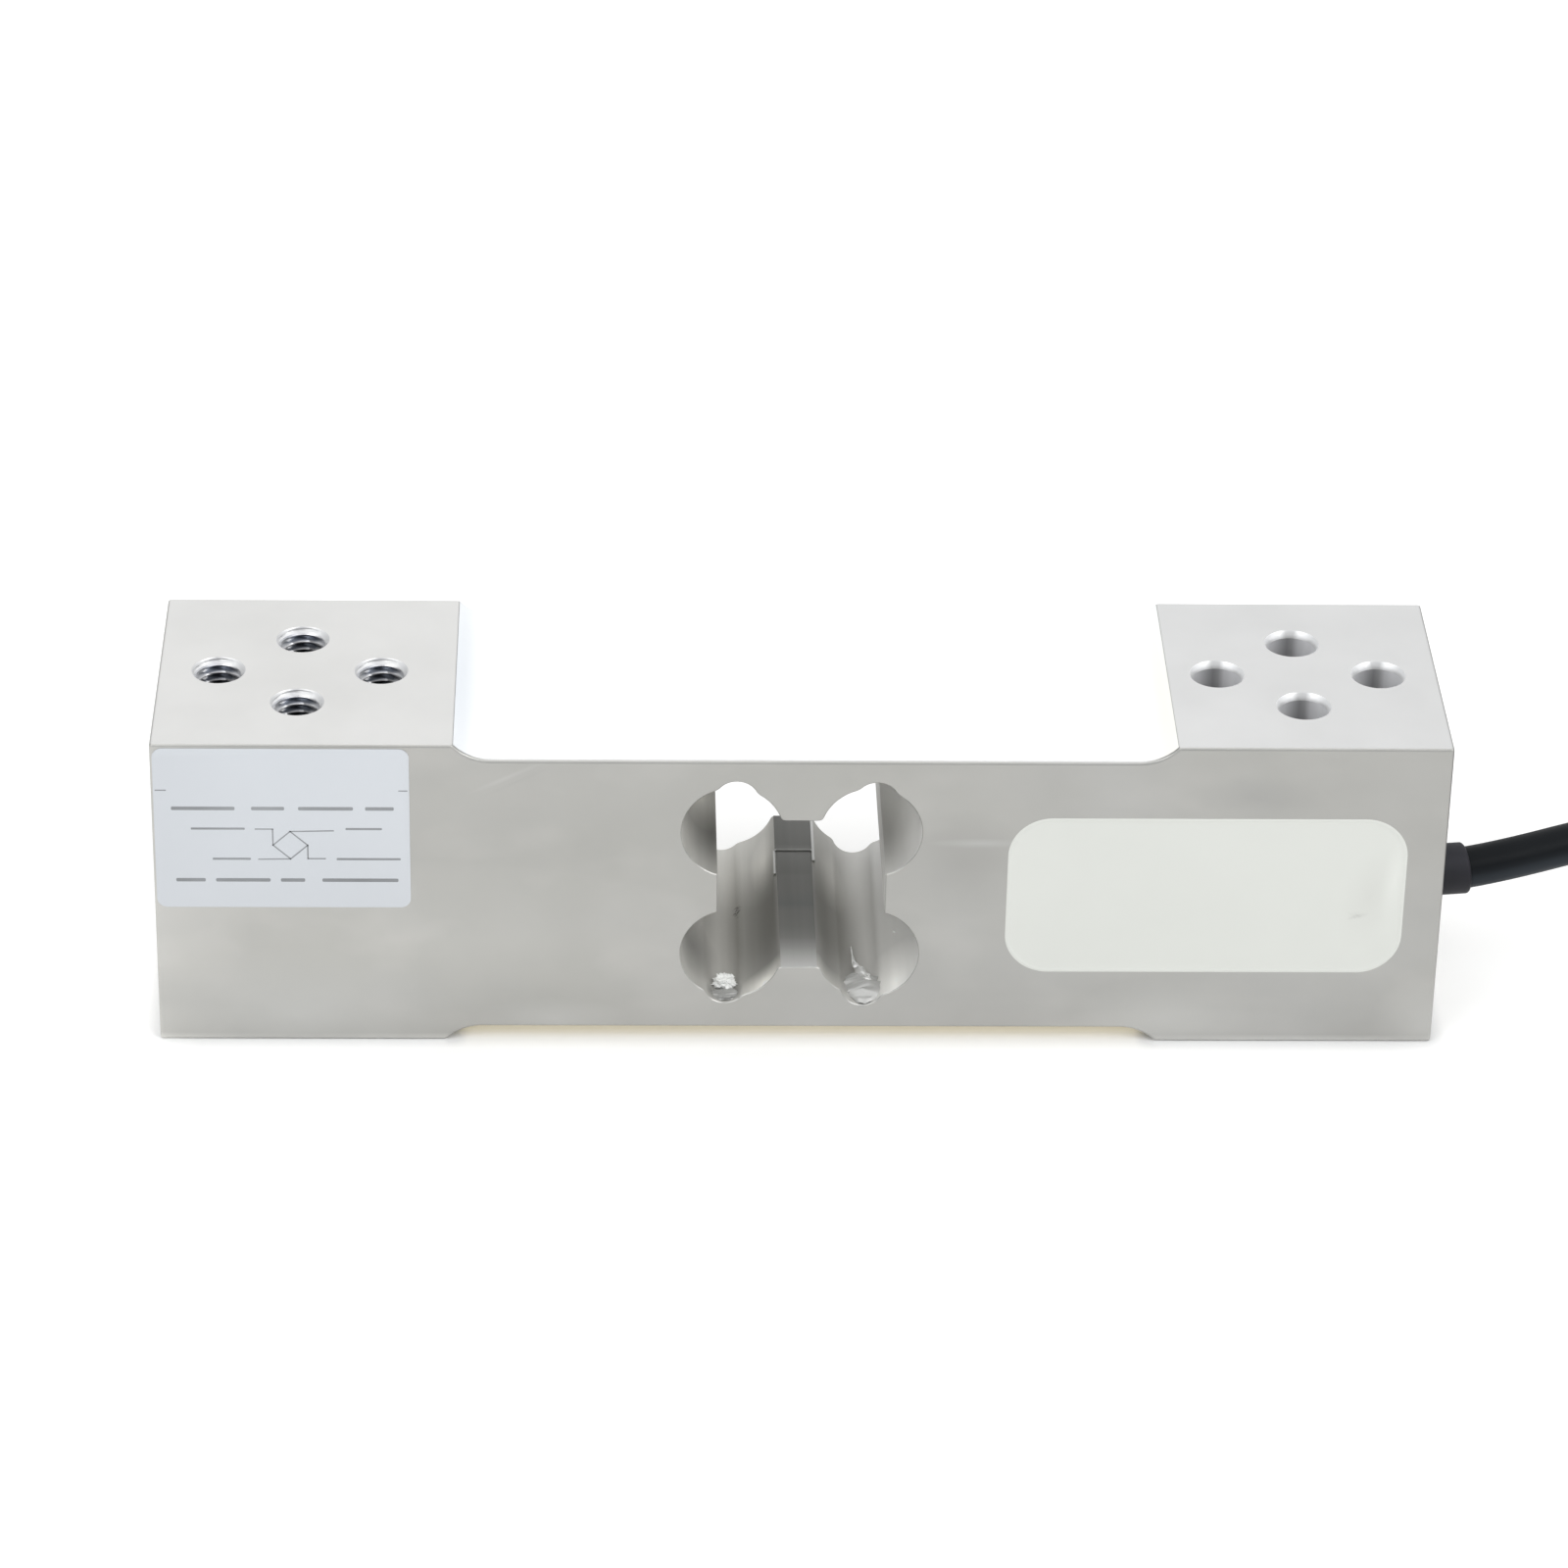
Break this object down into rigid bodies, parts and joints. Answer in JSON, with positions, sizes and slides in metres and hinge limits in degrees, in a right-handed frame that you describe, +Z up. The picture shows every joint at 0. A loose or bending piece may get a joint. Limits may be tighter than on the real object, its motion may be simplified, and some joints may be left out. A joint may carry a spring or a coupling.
{
  "type": "single point load cell",
  "caption": "Rectangular aluminium beam with a lobed cut-out, potted side pocket, tapped ends and a coiled signal cable; it measures the load on a weighing platform.",
  "frame": {"origin": "centre of the spring element's underside footprint", "axes": "+X along the beam towards the cable end, -Y out of the pocket and label face, +Z up"},
  "size_m": [0.2831, 0.0466, 0.04],
  "materials": {
    "aluminium": "milled, satin",
    "gauge_film": "thin film",
    "enamel_wire": "enamelled",
    "white_silicone": "smooth silicone",
    "potting": "smooth silicone",
    "board": "solder mask",
    "resistor": "ceramic chip",
    "label": "printed film",
    "collar_rubber": "soft, satin",
    "cable_jacket": "satin jacket",
    "tie_nylon": "nylon",
    "red_insulation": "satin",
    "black_insulation": "satin",
    "green_insulation": "satin",
    "white_insulation": "satin",
    "tinned_copper": "tinned strands"
  },
  "bodies": {
    "root": {"spring_element": "aluminium", "strain_gauge_top_left": "gauge_film", "strain_gauge_top_right": "gauge_film", "strain_gauge_bottom_left": "gauge_film", "strain_gauge_bottom_right": "gauge_film", "terminal_strip_top": "gauge_film", "terminal_strip_bottom": "gauge_film", "gauge_leads_top": "enamel_wire", "gauge_leads_bottom": "enamel_wire", "gauge_cover_top": "white_silicone", "gauge_cover_bottom": "white_silicone", "bridge_board": "board", "trim_resistors": "resistor", "pocket_conductors": "white_insulation", "pocket_potting": "potting", "rating_label": "label", "cable_collar": "collar_rubber", "cable": "cable_jacket", "cable_hank": "cable_jacket", "cable_tail": "cable_jacket", "hank_ties": "tie_nylon", "far_lead_red": "red_insulation", "far_lead_black": "black_insulation", "far_lead_green": "green_insulation", "far_lead_white": "white_insulation", "shield_drain": "tinned_copper"}
  },
  "joints": []
}
